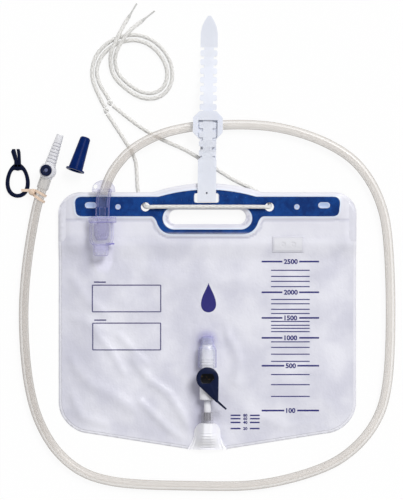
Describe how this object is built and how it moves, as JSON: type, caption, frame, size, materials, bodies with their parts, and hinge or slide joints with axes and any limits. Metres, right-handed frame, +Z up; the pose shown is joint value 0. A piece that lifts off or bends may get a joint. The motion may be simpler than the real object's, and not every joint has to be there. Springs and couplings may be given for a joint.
{
  "type": "urine drainage bag",
  "caption": "Flat welded urine drainage bag with a blue grip plate, ratchet hanging strap, drip chamber inlet, turning drain tap, long drain tube with catheter connector, and a hanging cord.",
  "frame": {"origin": "on the surface that the bag lies on, under the middle of the bag with its hanging strap", "axes": "+X across the bag, +Y from the drain tap towards the hanging strap, +Z up out of the bag's printed front"},
  "size_m": [0.408, 0.5112, 0.0231],
  "materials": {
    "film_back": "embossed flexible film",
    "film_front": "translucent embossed flexible film",
    "plate_blue": "smooth",
    "strap_white": "satin",
    "clear_violet": "clear with a violet tint",
    "patch_white": "embossed",
    "tap_white": "satin",
    "lever_navy": "satin",
    "clear_tube": "clear, faintly warm",
    "connector_white": "satin",
    "septum_grey": "matt",
    "cap_blue": "satin",
    "clip_navy": "satin",
    "band_tan": "matt",
    "cord_white": "braided",
    "tip_grey": "heat sealed"
  },
  "bodies": {
    "bag": {"back_film": "film_back", "front_film": "film_front", "stiffener_plate": "plate_blue", "hanging_strap": "strap_white", "inlet_socket": "clear_violet", "drip_nozzle": "clear_violet", "drip_chamber": "clear_violet", "reflux_valve": "film_back", "vent_patch": "patch_white", "spout_holster": "clear_violet", "tap_body": "tap_white", "outlet_tube": "clear_tube", "outlet_spout": "tap_white", "drain_tube": "clear_tube", "connector_sleeve": "clear_tube", "catheter_connector": "connector_white", "sample_port_collar": "lever_navy", "sample_port_septum": "septum_grey", "connector_cap": "cap_blue", "sheet_clip": "clip_navy", "elastic_band": "band_tan", "cord_loop": "cord_white", "cord_tie_left": "cord_white", "cord_tie_right": "cord_white", "cord_knot_left": "cord_white", "cord_knot_right": "cord_white", "cord_tip_left": "tip_grey", "cord_tip_right": "tip_grey"},
    "lever": {"tap_lever": "lever_navy"}
  },
  "joints": [
    {"name": "tap_turn", "type": "hinge", "parent": "bag", "child": "lever", "pos_m": [0, -0.1514, 0.0112], "axis": [0, 0, 1], "range_deg": [0, 90]}
  ]
}
